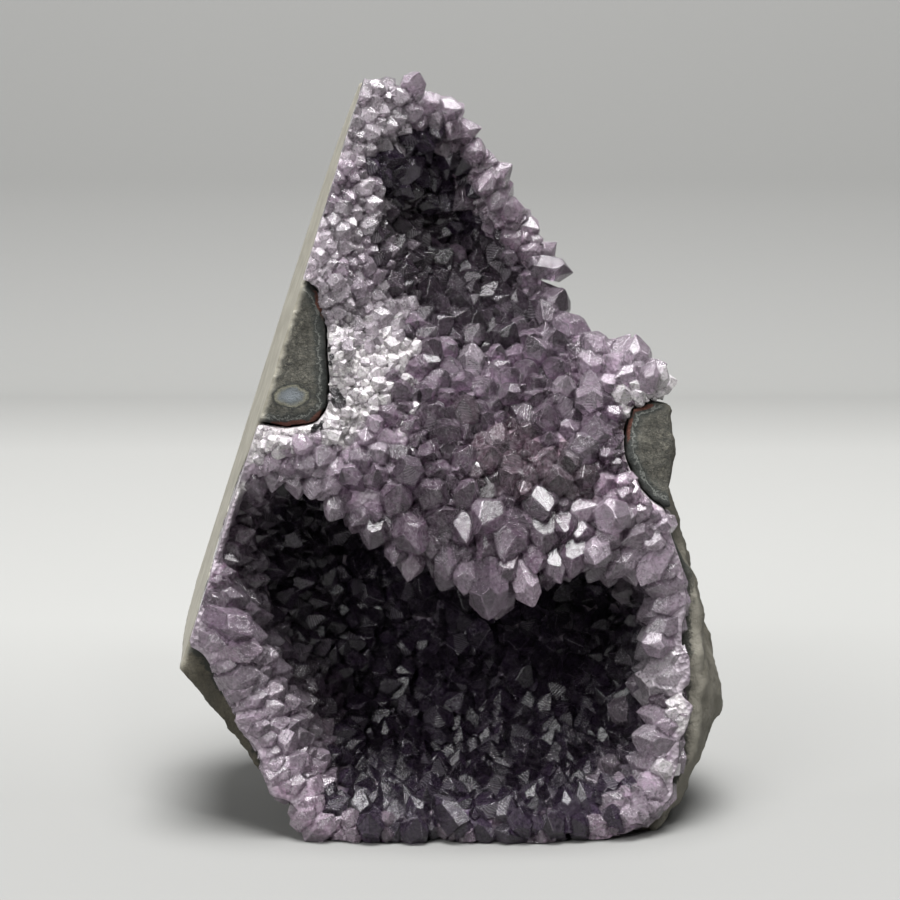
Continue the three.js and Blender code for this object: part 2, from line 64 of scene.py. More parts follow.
# The septum's bare ends in the front view, as points x, z in millimetres
SEPTUM_ENDS = (
    ((-27.8, 109), (-25.8, 107), (-24.7, 103), (-24.5, 96), (-24.1, 90), (-24.3, 85.5), (-26.3, 82.6),
     (-31.8, 81.6), (-48.3, 83.5), (-38.3, 109)),
    ((34.3, 80), (35.9, 83.6), (39.7, 85), (43.2, 84), (43.7, 72), (42.7, 64.5), (39.5, 66.5), (36.5, 70),
     (34.5, 75)),
)
POCKET_AXIS = (-2.3, 33.0)

# How fine the meshes are, and how close two vertices of a CAD node are to be one
ROCK_GRAIN = 0.95 * MM
BED_GRAIN = 0.85 * MM
SAME_VERTEX = 0.002 * MM
WEIGHT_STEPS = 20


# Meshes

def select_only(piece):
    """Makes the piece the one that operators act on."""
    bpy.ops.object.select_all(action="DESELECT")
    piece.select_set(True)
    bpy.context.view_layer.objects.active = piece


def edit(piece):
    """Goes into edit mode on the piece, with all of it selected."""
    select_only(piece)
    bpy.ops.object.mode_set(mode="EDIT")
    bpy.ops.mesh.select_all(action="SELECT")


def leave_edit():
    bpy.ops.object.mode_set(mode="OBJECT")


def apply_modifiers(piece):
    select_only(piece)
    for modifier in list(piece.modifiers):
        bpy.ops.object.modifier_apply(modifier=modifier.name)


def places_of(mesh):
    """Every vertex's place, as rows of x, y, z."""
    places = np.empty(len(mesh.vertices) * 3)
    mesh.vertices.foreach_get("co", places)
    return places.reshape(-1, 3)


def normals_of(mesh):
    normals = np.empty(len(mesh.vertices) * 3)
    mesh.vertices.foreach_get("normal", normals)
    return normals.reshape(-1, 3)


def set_places(mesh, places):
    mesh.vertices.foreach_set("co", places.ravel())
    mesh.update()


def set_attribute(mesh, name, values, domain="POINT"):
    """Gives every vertex or face a number, or a colour where each value is a row of four."""
    kind, key = ("FLOAT_COLOR", "color") if values.ndim == 2 else ("FLOAT", "value")
    layer = mesh.attributes.new(name, kind, domain)
    layer.data.foreach_set(key, values.ravel())


def copy_of(node, name):
    """A merged copy of a CAD node as a piece of its own."""
    piece = bpy.data.objects.new(name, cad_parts[node].data.copy())
    piece.data.name = name
    piece.data.materials.clear()
    bpy.context.scene.collection.objects.link(piece)
    edit(piece)
    bpy.ops.mesh.remove_doubles(threshold=SAME_VERTEX)
    leave_edit()
    return piece


def remesh(piece, grain):
    """Rebuilds the piece's mesh with even faces."""
    modifier = piece.modifiers.new("even faces", "REMESH")
    modifier.mode = "VOXEL"
    modifier.voxel_size = grain
    modifier.use_smooth_shade = True
    apply_modifiers(piece)


def roughen(piece, group, size, height):
    """Adds lumps of one size over the vertices of a group."""
    texture = bpy.data.textures.new(f"{piece.name} lumps {size:.4f}", "CLOUDS")
    texture.noise_scale = size
    modifier = piece.modifiers.new("lumps", "DISPLACE")
    modifier.texture = texture
    modifier.texture_coords = "LOCAL"
    modifier.strength = height
    modifier.mid_level = 0.5
    modifier.vertex_group = group
    apply_modifiers(piece)


def weight_group(piece, name, weights):
    """Adds a vertex group with the weights rounded to a few steps."""
    group = piece.vertex_groups.new(name=name)
    for step in range(1, WEIGHT_STEPS + 1):
        chosen = np.nonzero(np.round(weights * WEIGHT_STEPS) == step)[0]
        group.add(chosen.tolist(), step / WEIGHT_STEPS, "REPLACE")


def tree_of(piece):
    return BVHTree.FromObject(piece, bpy.context.evaluated_depsgraph_get())


def points_tree(points):
    tree = KDTree(len(points))
    for k, point in enumerate(points):
        tree.insert(point, k)
    tree.balance()
    return tree


def distances(tree, places):
    return np.array([tree.find_nearest(Vector(place))[3] for place in places])


def smoothstep(low, high, value):
    share = np.clip((value - low) / (high - low), 0, 1)
    return share * share * (3 - 2 * share)


def beyond_saw(places):
    """How far inside the sawn left side each place lies."""
    return (places - np.array(SAWN_POINT)) @ np.array(SAWN_NORMAL)


def outside_gap(outline, flat):
    """How far each x, z lies outside an outline, in millimetres, and less than 0 inside it."""
    corners = np.array(outline, float)
    ends = np.roll(corners, -1, axis=0)
    nearest = np.full(len(flat), np.inf)
    within = np.zeros(len(flat), bool)
    for a, b in zip(corners, ends):
        along = np.clip(((flat - a) @ (b - a)) / ((b - a) @ (b - a)), 0, 1)
        nearest = np.minimum(nearest, np.linalg.norm(flat - a - along[:, None] * (b - a), axis=1))
        if a[1] != b[1]:
            crossing = (b[0] - a[0]) * (flat[:, 1] - a[1]) / (b[1] - a[1]) + a[0]
            within ^= ((a[1] > flat[:, 1]) != (b[1] > flat[:, 1])) & (flat[:, 0] < crossing)
    return np.where(within, -nearest, nearest)


def from_septum(places):
    """How far each place lies outside the septum's bare ends in the front view, in millimetres."""
    flat = places[:, [0, 2]] / MM
    return np.minimum(*(outside_gap(outline, flat) for outline in SEPTUM_ENDS))


# Shader nodes

class Shader:
    """A material under construction. Every method returns an output socket."""

    def __init__(self, name):
        self.material = bpy.data.materials.new(name)
        self.material.use_nodes = True
        self.tree = self.material.node_tree
        self.tree.nodes.clear()
        self.out = self.node("ShaderNodeOutputMaterial")
        self.place = self.node("ShaderNodeTexCoord").outputs["Object"]

    def node(self, kind, settings=None, **inputs):
        node = self.tree.nodes.new(kind)
        for key, value in (settings or {}).items():
            setattr(node, key, value)
        for key, value in inputs.items():
            self.join(node, key.replace("_", " "), value)
        return node

    def join(self, node, key, value):
        socket = node.inputs[int(key[1:]) if key[0] == "#" else key]
        if isinstance(value, bpy.types.NodeSocket):
            self.tree.links.new(value, socket)
        else:
            socket.default_value = value

    def attribute(self, name, output="Fac"):
        return self.node("ShaderNodeAttribute", {"attribute_name": name}).outputs[output]

    def noise(self, size, detail=4.0, roughness=0.55, twist=0.0):
        """Soft noise from 0 to 1, with lumps of the given size in metres."""
        node = self.node("ShaderNodeTexNoise", Vector=self.place, Scale=1 / size, Detail=detail,
                         Roughness=roughness, Distortion=twist)
        return node.outputs["Fac"]

    def warped(self, size, reach):
        """Object coordinates shifted by up to about the reach, with noise of the given size."""
        noise = self.node("ShaderNodeTexNoise", Vector=self.place, Scale=1 / size, Detail=3.0)
        shift = self.node("ShaderNodeVectorMath", {"operation": "MULTIPLY_ADD"})
        self.join(shift, "#0", noise.outputs["Color"])
        self.join(shift, "#1", (2 * reach,) * 3)
        self.join(shift, "#2", self.place)
        return shift.outputs[0]

    def cells(self, size, feature="F1", place=None):
        """Distances within a pattern of cells of the given size in metres."""
        node = self.node("ShaderNodeTexVoronoi", {"feature": feature}, Vector=place or self.place,
                         Scale=1 / size)
        return node.outputs["Distance"]

    def math(self, operation, a, b=0.0, c=0.0):
        node = self.node("ShaderNodeMath", {"operation": operation})
        for k, value in enumerate((a, b, c)):
            self.join(node, f"#{k}", value)
        return node.outputs[0]

    def spread(self, value, width):
        """A value from 0 to 1 turned into one from minus to plus half the width."""
        return self.math("MULTIPLY_ADD", value, width, -width / 2)

    def ramp(self, value, *stops):
        """A value turned into colours or greys: stops are (position, colour or grey)."""
        node = self.node("ShaderNodeValToRGB", Fac=value)
        elements = node.color_ramp.elements
        while len(elements) < len(stops):
            elements.new(1.0)
        for element, (position, tone) in zip(elements, stops):
            element.position = position
            element.color = (*tone, 1.0) if isinstance(tone, tuple) else (tone, tone, tone, 1.0)
        return node.outputs["Color"]

    def mix(self, share, a, b, blend="MIX"):
        """Two colours mixed: share is how much of the second shows."""
        node = self.node("ShaderNodeMix", {"data_type": "RGBA", "blend_type": blend})
        for key, value in ((0, share), (6, a), (7, b)):
            if isinstance(value, tuple) and len(value) == 3:
                value = (*value, 1.0)
            self.join(node, f"#{key}", value)
        return node.outputs[2]

    def bump(self, height, distance, strength, normal=None):
        node = self.node("ShaderNodeBump", Height=height, Distance=distance, Strength=strength)
        if normal is not None:
            self.join(node, "Normal", normal)
        return node.outputs["Normal"]

    def finish(self, volume=None, **inputs):
        shader = self.node("ShaderNodeBsdfPrincipled", **inputs)
        self.tree.links.new(shader.outputs["BSDF"], self.out.inputs["Surface"])
        if volume:
            self.tree.links.new(volume.outputs["Volume"], self.out.inputs["Volume"])
        return self.material


# The rock

RED_BROWN = (0.135, 0.036, 0.018)
DARK_RED = (0.05, 0.018, 0.012)
GREEN_BLACK = (0.016, 0.019, 0.016)
GREY_BROWN = (0.115, 0.105, 0.080)
PALE_GREY = (0.30, 0.285, 0.24)
WEDGE_GREY = (0.27, 0.255, 0.21)

# Colours along a noise or a distance, as positions from 0 to 1 and colours
BROKEN_STONE = (0.3, (0.072, 0.068, 0.054)), (0.5, GREY_BROWN), (0.68, (0.20, 0.185, 0.145))
STONE_GRAIN = (0.34, (0.04, 0.04, 0.036)), (0.62, PALE_GREY)
SEPTUM_TAN = (0.34, (0.022, 0.022, 0.018)), (0.52, (0.066, 0.063, 0.050)), (0.68, (0.17, 0.162, 0.13))
SEPTUM_BANDS = (
    (0.0, (0.05, 0.05, 0.045)), (0.10, GREEN_BLACK), (0.26, (0.03, 0.033, 0.03)), (0.31, (0.16, 0.165, 0.15)),
    (0.35, GREEN_BLACK), (0.46, (0.05, 0.05, 0.042)), (0.60, (0.10, 0.097, 0.078)),
)
OVAL_RINGS = (
    (0.2, (0.012, 0.014, 0.012)), (0.32, (0.14, 0.135, 0.10)), (0.5, (0.09, 0.10, 0.105)),
    (0.9, (0.17, 0.19, 0.21)),
)
WEDGE_STONE = (0.3, (0.20, 0.19, 0.155)), (0.7, (0.34, 0.32, 0.27))
SAWN_STONE = (0.3, (0.27, 0.25, 0.20)), (0.7, (0.46, 0.44, 0.37))

BAND_DEPTH = 6.0 # the bands run over this distance from the crust, in millimetres
BAND_WANDER = 4.4 # the width in millimetres within which they stray
SAWN_PALENESS = 0.85 # how much of the broken rock's colour the saw took off
WEDGE_PALENESS = 0.85

# Where the red-brown line along the septum's bare ends is strong: x, z and reach in millimetres
RED_PLACES = ((-26, 105, 5), (-31, 82.5, 6.5), (-26.5, 83.5, 3), (38, 84, 4.5), (35, 80, 4))
RED_STRENGTH = 1.4
RED_LINE = 0.3, 2.2 # it fades over these distances from the crust
OVAL_AT = (-31.1, 87.4) # a blue-grey spot on the left end, and its half width and height
OVAL_SIZE = (3.4, 2.2)
OVAL_FRINGE = 1.3 # its dark rim ends at this many half sizes

# A paler, smoother wedge at the lower right begins over these x and ends over these z, in millimetres; its
# paler colour, only where it faces the front, is painted light
WEDGE_FROM = 37, 42
WEDGE_TO = 58, 50

# Each kind of lump: the vertex group that has it, its size and its height in millimetres
ROCK_LUMPS = (("broken", 15, 4.0), ("broken", 5.5, 1.6), ("septum", 3.2, 1.3), ("skin", 1.7, 0.6))
LOOSE_BY_CRUST = 0.5, 4.0 # lumps grow over these distances from the crust, the sawn side and the floor
LOOSE_BY_SAW = 0.9, 3.5
LOOSE_BY_FLOOR = 0.4, 3.0
SEPTUM_CALM = 0.75 # the share of the large lumps that the septum's ends lose
LEAST_SKIN = 0.2 # the share of the finest lumps that stays next to the crust
SAWN_OVER = 0.35, 0.9 # the sawn finish ends over these depths
SAW_PRESS = 0.5 # rock this near the sawn side or the floor is pressed flat
FLOOR_PRESS = 0.4
TURNED_TO_FRONT = 0.05, 0.6 # a face belongs to the front as its normal's share towards it grows over these
FRONT_FACE = 0.15
SEPTUM_BEFORE = -8 # the septum's ends lie in front of this y
SEPTUM_EDGE = -0.2, 0.8
FARTHEST = 20.0 # distances from the crust are kept up to this


def basalt_finish():
    """Grey-brown basalt, dark next to the crystals, with banded rock on the septum's bare ends."""
    s = Shader("basalt")
    sawn = s.attribute("sawn")
    septum = s.attribute("septum")
    patches = s.noise(13 * MM, 6, 0.62, 0.7)
    grain = s.noise(0.5 * MM, 5, 0.75)
    grained = s.mix(0.6, s.ramp(patches, *BROKEN_STONE), s.ramp(grain, *STONE_GRAIN), "OVERLAY")
    wedge = s.mix(0.5, WEDGE_GREY, s.ramp(patches, *WEDGE_STONE))
    # Painted light: the wedge at the lower right is paler where it faces the front
    broken = s.mix(s.math("MULTIPLY", s.attribute("wedge"), WEDGE_PALENESS), grained, wedge)

    # The septum's ends: crooked veins over grey-tan rock, and dark and pale bands near the rim
    vein_cells = s.cells(1.6 * MM, "DISTANCE_TO_EDGE", s.warped(2.2 * MM, 1.1 * MM))
    veins = s.ramp(vein_cells, (0.0, 0.3), (0.09, 1.0))
    inner = s.mix(0.65, s.ramp(s.noise(1.1 * MM, 8, 0.75, 0.9), *SEPTUM_TAN), veins, "MULTIPLY")
    wander = s.spread(s.noise(1.5 * MM, 7, 0.68, 0.8), BAND_WANDER)
    depth = s.math("DIVIDE", s.math("ADD", s.attribute("from_crust"), wander), BAND_DEPTH)
    near_rim = s.ramp(depth, (0.42, 1.0), (0.62, 0.0))
    banded = s.mix(near_rim, inner, s.ramp(depth, *SEPTUM_BANDS))
    oval = s.math("ADD", s.attribute("oval"), s.spread(s.noise(1.8 * MM, 5, 0.65), 0.5))
    spot = s.ramp(oval, (0.0, 0.0), (0.12, 0.35), (0.2, 1.0))
    spotted = s.mix(spot, banded, s.ramp(oval, *OVAL_RINGS))
    rock = s.mix(septum, broken, spotted)

    # Everywhere else the rock is dark for a millimetre or two next to the crystals
    dark_rim = s.ramp(depth, (0.05, 0.95), (0.30, 0.8), (0.42, 0.0))
    rimmed = s.mix(s.math("MULTIPLY", dark_rim, s.math("SUBTRACT", 1.0, septum)), rock, GREEN_BLACK)
    red_line = s.math("ADD", s.attribute("rust"), s.spread(s.noise(1.3 * MM, 5, 0.7), 0.8))
    rusted = s.mix(s.ramp(red_line, (0.42, 0.0), (0.62, 0.9)), rimmed, s.mix(grain, RED_BROWN, DARK_RED))
    polish = s.ramp(s.noise(5 * MM, 7, 0.65), *SAWN_STONE)
    colour = s.mix(s.math("MULTIPLY", sawn, SAWN_PALENESS), rusted, polish)

    # The saw left the side nearly flat and less rough
    coarse = s.math("MULTIPLY", s.noise(1.4 * MM, 8, 0.7), s.math("MULTIPLY_ADD", sawn, -0.9, 1.0))
    fine = s.math("MULTIPLY", s.noise(0.35 * MM, 3, 0.7), s.math("SUBTRACT", 1.0, sawn))
    normal = s.bump(fine, 0.12 * MM, 0.8, s.bump(coarse, 0.7 * MM, 1.0))
    roughness = s.math("MULTIPLY_ADD", sawn, -0.35, 0.84)
    return s.finish(Base_Color=colour, Roughness=roughness, Normal=normal, IOR=1.5)


def basalt_rock():
    """The broken rock, with a rough skin, a flat sawn side and a flat base."""
    rock = copy_of("basalt_matrix", "basalt_rock")
    remesh(rock, ROCK_GRAIN)
    places = places_of(rock.data)
    flat = places[:, [0, 2]] / MM
    from_crust = distances(tree_of(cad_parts["amethyst_crust"]), places) / MM
    inside_saw = beyond_saw(places) / MM
    sawn = 1 - smoothstep(*SAWN_OVER, inside_saw)
    to_front = smoothstep(*TURNED_TO_FRONT, -normals_of(rock.data)[:, 1])
    facing = (places[:, 1] < SEPTUM_BEFORE * MM) & (to_front > FRONT_FACE)
    septum = (1 - smoothstep(*SEPTUM_EDGE, from_septum(places))) * facing

    loose = smoothstep(*LOOSE_BY_CRUST, from_crust) * smoothstep(*LOOSE_BY_SAW, inside_saw)
    loose = loose * smoothstep(*LOOSE_BY_FLOOR, places[:, 2] / MM)
    weight_group(rock, "broken", loose * (1 - SEPTUM_CALM * septum))
    weight_group(rock, "septum", septum * (1 - sawn))
    weight_group(rock, "skin", np.maximum(LEAST_SKIN, loose) * (1 - sawn))
    for group, size, height in ROCK_LUMPS:
        roughen(rock, group, size * MM, height * MM)
    rock.vertex_groups.clear()

    moved = places_of(rock.data)
    by_saw = (inside_saw < SAW_PRESS)[:, None]
    moved = np.where(by_saw, moved - beyond_saw(moved)[:, None] * np.array(SAWN_NORMAL), moved)
    moved[:, 2] = np.where(places[:, 2] < FLOOR_PRESS * MM, 0.0, np.maximum(moved[:, 2], 0.0))
    set_places(rock.data, moved)

    rust = np.zeros(len(places))
    for x, z, reach in RED_PLACES:
        rust = np.maximum(rust, 1 - np.hypot(flat[:, 0] - x, flat[:, 1] - z) / reach)
    rust = rust * (1 - smoothstep(*RED_LINE, from_crust)) * facing * RED_STRENGTH
    oval = 1 - np.hypot(*((flat - OVAL_AT) / OVAL_SIZE).T) / OVAL_FRINGE
    # The wedge's mask follows how far each face turns to the front: painted light
    wedge = smoothstep(*WEDGE_FROM, flat[:, 0]) * smoothstep(*WEDGE_TO, flat[:, 1]) * to_front
    set_attribute(rock.data, "from_crust", np.minimum(from_crust, FARTHEST))
    set_attribute(rock.data, "sawn", sawn)
    set_attribute(rock.data, "septum", septum)
    set_attribute(rock.data, "wedge", wedge)
    set_attribute(rock.data, "rust", rust)
    set_attribute(rock.data, "oval", np.maximum(oval, 0) * septum)
    rock.data.materials.append(basalt_finish())
    return rock


# The quartz bed

QUARTZ_IOR = 1.544
ROOT_WHITE = (0.78, 0.76, 0.74)
BED_CLOUDS = (0.35, (0.26, 0.22, 0.26)), (0.62, (1.0, 0.98, 1.0))
WHITE_REACH = 4.0 # from the rock, in millimetres: the bed fades from white to its crystals' colours
BED_THICKNESS = 4.2 * MM # of the quartz that the crystals stand on
BED_SMOOTHINGS = 3


def quartz_bed_finish():
    """Milky quartz, white next to the rock and pale lilac further in, broken in small flat grains."""
    s = Shader("milky quartz")
    cloud = s.noise(2.2 * MM, 7, 0.68, 0.6)
    depth = s.math("DIVIDE", s.attribute("from_rock"), WHITE_REACH)
    white = s.ramp(s.math("ADD", depth, s.spread(cloud, 0.6)), (0.12, 1.0), (0.45, 0.0))
    tone = s.mix(s.math("MULTIPLY", white, 0.8), s.attribute("tint", "Color"), ROOT_WHITE)
    clouded = s.mix(0.85, tone, s.ramp(cloud, *BED_CLOUDS), "MULTIPLY")
    normal = s.bump(s.cells(0.9 * MM), 0.5 * MM, 0.9)
    normal = s.bump(s.noise(0.4 * MM, 4, 0.7), 0.14 * MM, 0.8, normal)
    return s.finish(Base_Color=clouded, Roughness=0.3, Normal=normal, IOR=QUARTZ_IOR,
                    Transmission_Weight=0.15)


def quartz_bed(rock_tree):
    """The layer that the crystals stand on: the CAD crust without its crystals."""
    bed = copy_of("amethyst_crust", "quartz_bed")
    remesh(bed, BED_GRAIN)
    places = places_of(bed.data)
    for k, place in enumerate(places):
        nearest, _, _, distance = rock_tree.find_nearest(Vector(place))
        if distance > BED_THICKNESS:
            places[k] = nearest + (Vector(place) - nearest) * (BED_THICKNESS / distance)
    set_places(bed.data, places)
    smoothing = bed.modifiers.new("even out", "SMOOTH")
    smoothing.factor = 0.5
    smoothing.iterations = BED_SMOOTHINGS
    apply_modifiers(bed)
    return bed


# Crystals

PALE_LILAC = (0.62, 0.505, 0.605)
PINK_LILAC = (0.53, 0.395, 0.50)
WHITE_QUARTZ = (0.92, 0.90, 0.88)
WHITE_LILAC = (0.88, 0.81, 0.86)
GREY_LILAC = (0.325, 0.235, 0.315)
MID_PURPLE = (0.205, 0.127, 0.192)
BROWNISH = (0.18, 0.112, 0.143)
# Deep purple is a crystal colour, and also the colour of painted shade in the hollows
DEEP_PURPLE = (0.056, 0.032, 0.074)
DARK_GREY = (0.085, 0.058, 0.084)
BROKEN_QUARTZ = (0.44, 0.385, 0.43)
CLEAR = (0.72, 0.63, 0.71)

# Zones of the crust in the front view: the middle x, z in millimetres, the least and most crystal radius,
# and the colour. A place belongs to the zone whose middle is nearest. The deep purple and dark grey zones
# in the upper hollow and the lower pocket are their deeper colour together with painted shade.
ZONES = (
    (-10, 144, 1.2, 2.3, WHITE_LILAC), (-3, 139, 1.4, 2.5, PALE_LILAC), (-15, 137, 1.0, 2.0, WHITE_LILAC),
    (-19, 128, 0.8, 1.7, PALE_LILAC), (-21, 117, 0.9, 1.9, WHITE_LILAC), (-21, 107, 0.8, 1.7, WHITE_LILAC),
    (4.5, 133, 1.5, 2.6, PINK_LILAC), (10.5, 123, 1.6, 2.8, PINK_LILAC), (15.5, 115, 1.6, 2.8, PINK_LILAC),
    (19.5, 107, 1.8, 3.0, GREY_LILAC), (-8, 130, 1.5, 2.6, DEEP_PURPLE), (-2, 127, 1.6, 2.8, DEEP_PURPLE),
    (-8, 121, 1.5, 2.6, DARK_GREY), (1, 119, 1.6, 2.8, DEEP_PURPLE), (-4, 112, 1.6, 2.8, DARK_GREY),
    (7, 113, 1.6, 2.8, DARK_GREY), (11, 106, 1.6, 3.0, DARK_GREY), (-14, 104, 0.9, 2.0, WHITE_LILAC),
    (-15, 112, 1.0, 2.2, PALE_LILAC), (-17, 122, 1.0, 2.1, WHITE_LILAC),
    (1, 104, 1.4, 2.8, DARK_GREY), (11, 100, 1.6, 3.0, DARK_GREY), (21, 93, 1.6, 3.2, GREY_LILAC),
    (32, 90, 1.8, 3.2, PALE_LILAC), (38, 87, 1.4, 2.4, WHITE_QUARTZ),
    (-20, 97, 0.5, 1.2, WHITE_QUARTZ), (-18, 88, 0.5, 1.3, WHITE_QUARTZ), (-12, 95, 0.7, 1.6, WHITE_QUARTZ),
    (-11, 88, 0.7, 1.6, WHITE_QUARTZ), (-17, 82, 0.6, 1.5, WHITE_QUARTZ),
    (-25, 79, 0.5, 1.3, WHITE_QUARTZ), (-35, 78, 0.5, 1.3, WHITE_QUARTZ), (-41, 76, 0.8, 1.6, WHITE_QUARTZ),
    (-15, 79, 1.0, 2.4, PALE_LILAC), (-25, 72, 1.4, 2.6, PALE_LILAC), (-34, 71, 1.2, 2.4, PALE_LILAC),
    (-2, 92, 1.2, 2.8, GREY_LILAC), (5, 88, 1.4, 3.0, GREY_LILAC), (19, 84, 1.4, 3.2, MID_PURPLE),
    (29, 82, 1.6, 3.4, GREY_LILAC), (-3, 78, 1.4, 3.2, MID_PURPLE), (9, 76, 1.4, 3.2, BROWNISH),
    (21, 73, 1.5, 3.2, BROWNISH), (31, 74, 1.5, 3.0, MID_PURPLE), (35, 66, 2.0, 4.0, PINK_LILAC),
    (-17, 66, 1.6, 3.2, GREY_LILAC), (-7, 62, 1.8, 3.8, MID_PURPLE), (5, 58, 2.0, 4.2, MID_PURPLE),
    (15, 60, 1.8, 3.8, MID_PURPLE), (27, 60, 1.8, 3.4, MID_PURPLE), (39, 57, 1.6, 3.2, PALE_LILAC),
    # The white lilac at x 42, z 31 is painted light, set against the shade where these crystals lean into the
    # pocket
    (42, 45, 1.6, 3.4, PALE_LILAC), (42, 31, 1.6, 3.4, WHITE_LILAC), (41, 17, 1.6, 3.4, PALE_LILAC),
    (47, 50, 1.2, 2.4, WHITE_QUARTZ), (48, 38, 1.2, 2.4, WHITE_QUARTZ), (48, 24, 1.2, 2.4, WHITE_QUARTZ),
    (45, 11, 1.2, 2.4, WHITE_QUARTZ),
    # Along the bottom rim the grey lilac and mid purple are painted shade, set against the light from above
    (37, 6, 1.2, 2.6, PALE_LILAC), (29, 1, 0.8, 2.0, PINK_LILAC), (19, 0, 0.8, 1.8, GREY_LILAC),
    (9, 0, 0.7, 1.8, MID_PURPLE), (-1, 0, 0.7, 1.8, GREY_LILAC), (-11, 0, 0.7, 1.9, MID_PURPLE),
    (-20, 2, 1.0, 2.2, PINK_LILAC), (-28, 8, 1.4, 2.6, PINK_LILAC),
    # The grey lilac at x -47, z 44 is darker than the rim round it: painted shade, set against the front
    # softbox's light
    (-35, 19, 1.8, 3.2, PALE_LILAC), (-42, 31, 1.8, 3.4, PALE_LILAC), (-47, 44, 1.8, 3.6, GREY_LILAC),
    (-46, 56, 1.6, 3.2, MID_PURPLE), (-43, 67, 1.4, 2.8, GREY_LILAC),
    (-32, 40, 1.6, 3.2, MID_PURPLE), (-28, 26, 1.6, 3.0, MID_PURPLE), (35, 26, 1.6, 3.2, MID_PURPLE),
    (35, 42, 1.6, 3.2, GREY_LILAC),
    (-29, 52, 1.8, 3.4, DEEP_PURPLE), (-21, 34, 1.8, 3.4, DEEP_PURPLE), (-1, 40, 1.8, 3.6, DEEP_PURPLE),
    (-1, 20, 1.8, 3.6, DEEP_PURPLE), (21, 36, 1.8, 3.6, DEEP_PURPLE), (24, 18, 1.8, 3.6, DEEP_PURPLE),
    (-18, 9, 1.6, 3.0, DEEP_PURPLE), (-8, 8, 1.6, 3.0, DEEP_PURPLE), (2, 8, 1.6, 3.0, DEEP_PURPLE),
    (12, 8, 1.6, 3.0, DEEP_PURPLE), (24, 8, 1.6, 3.0, DEEP_PURPLE),
)
ZONE_MIDDLES = np.array([zone[:2] for zone in ZONES], float)
ZONE_BLUR = 1.7 # millimetres by which crystals of neighbouring zones mix

# Single crystals that stand out: x, z in the front view, radius, the way each points and its colour. They are
# an upright clear point, heads along the ridge and the corner, points under the lip, and heads on both rims.
STANDOUTS = (
    (4.0, 92.5, 3.0, (0.03, -0.3, 1.0), CLEAR), (22.2, 88.0, 2.8, (0.1, -0.8, 0.9), PALE_LILAC),
    (27.1, 86.0, 3.2, (0.1, -0.8, 0.5), PALE_LILAC), (38.3, 88.0, 2.4, (0.25, -0.5, 1.0), PALE_LILAC),
    (31.8, 65.2, 4.0, (0.1, -1.0, 0.1), PALE_LILAC), (29.0, 59.3, 3.6, (-0.1, -1.0, -0.3), PALE_LILAC),
    (-15.8, 61.5, 2.8, (-0.2, -0.7, -0.8), GREY_LILAC), (-11.5, 57.5, 2.6, (-0.1, -0.7, -0.7), GREY_LILAC),
    (-8.0, 56.0, 3.4, (-0.15, -0.6, -1.0), PINK_LILAC), (-2.2, 56.0, 2.8, (0.1, -0.7, -0.9), GREY_LILAC),
    (2.5, 53.5, 3.0, (-0.2, -0.7, -0.8), GREY_LILAC), (6.8, 51.5, 4.4, (0.0, -0.65, -1.0), GREY_LILAC),
    (14.2, 52.0, 3.4, (0.35, -0.6, -0.9), PINK_LILAC), (20.5, 55.0, 2.8, (0.3, -0.7, -0.7), GREY_LILAC),
    (-21.5, 66.5, 2.6, (-0.3, -0.7, -0.7), PALE_LILAC), (-27.5, 70.0, 2.4, (-0.2, -0.8, -0.6), PALE_LILAC),
    (-43.7, 44.0, 4.2, (0.7, -0.6, -0.2), GREY_LILAC), (-41.0, 37.9, 3.2, (0.9, -0.5, 0.1), PINK_LILAC),
    (-37.3, 34.1, 2.8, (0.9, -0.5, 0.3), PALE_LILAC), (-36.0, 28.3, 2.8, (0.9, -0.5, 0.4), PINK_LILAC),
    (-32.9, 24.7, 2.4, (0.9, -0.5, 0.4), PALE_LILAC), (-30.1, 21.0, 2.4, (0.8, -0.6, 0.4), PINK_LILAC),
    (-25.9, 12.7, 2.4, (0.7, -0.6, 0.6), PALE_LILAC), (37.1, 44.4, 3.6, (-0.8, -0.6, -0.1), PALE_LILAC),
    (40.6, 37.2, 3.2, (-0.7, -0.7, 0.1), PALE_LILAC), (39.0, 25.7, 3.2, (-0.8, -0.6, 0.2), PALE_LILAC),
    (35.9, 18.8, 3.2, (-0.8, -0.6, 0.3), PALE_LILAC), (32.5, 11.0, 2.8, (-0.6, -0.6, 0.6), PALE_LILAC),
    (12.8, 87.1, 2.8, (-0.1, -1.0, 0.3), MID_PURPLE), (-8.2, 73.4, 3.4, (-0.1, -0.9, 0.5), GREY_LILAC),
    (1.5, 113.2, 2.4, (-0.2, -1.0, 0.4), GREY_LILAC), (10.8, 112.2, 2.4, (-0.3, -1.0, 0.3), GREY_LILAC),
)
STANDOUT_SHOULDER = 1.2 # height of their shoulders above the bed, in radii
STANDOUT_REACH = 1.5 # each takes the foremost place within this many millimetres

CROWDING = 0.51 # crystals stand at least this share of their radii apart
SMALL_BIAS = 1.7 # above 1, small crystals are more common than large ones
STRETCH = 1.15 # the largest radius of each zone is stretched by this
LEAN = 0.42 # how far crystals stray from square to the bed
ROOT = 1.6 # length of a crystal below its shoulder, in radii
SHOULDERS = -0.15, 0.75 # height of a crystal's shoulder above the bed, in radii
TINT_SPREAD = 0.7, 1.3 # crystals of one zone differ in brightness within these factors
SMALL = 1.3 # crystals of a smaller radius in millimetres have no edge bevels
CRYSTAL_FOOT = 0.3 * MM # crystals end this far above the floor

# The plain crystals that all others are copies of, with lengths in radii
TEMPLATE_COUNT = 14
FACE_SLOPE = math.radians(51.8) # a quartz point's faces lie this far from square to its axis
FLATNESS = 0.75, 1.0
APEX = 1.1
LOW_FACES = 0.9, 1.0 # three of the point's faces are cut at these shares of the apex's height
HIGH_FACES = 0.97, 1.18 # and the three between them at these
EDGE_BEVEL = 0.03
BEVEL_ABOVE = -0.9 * ROOT # the root's end stays sharp

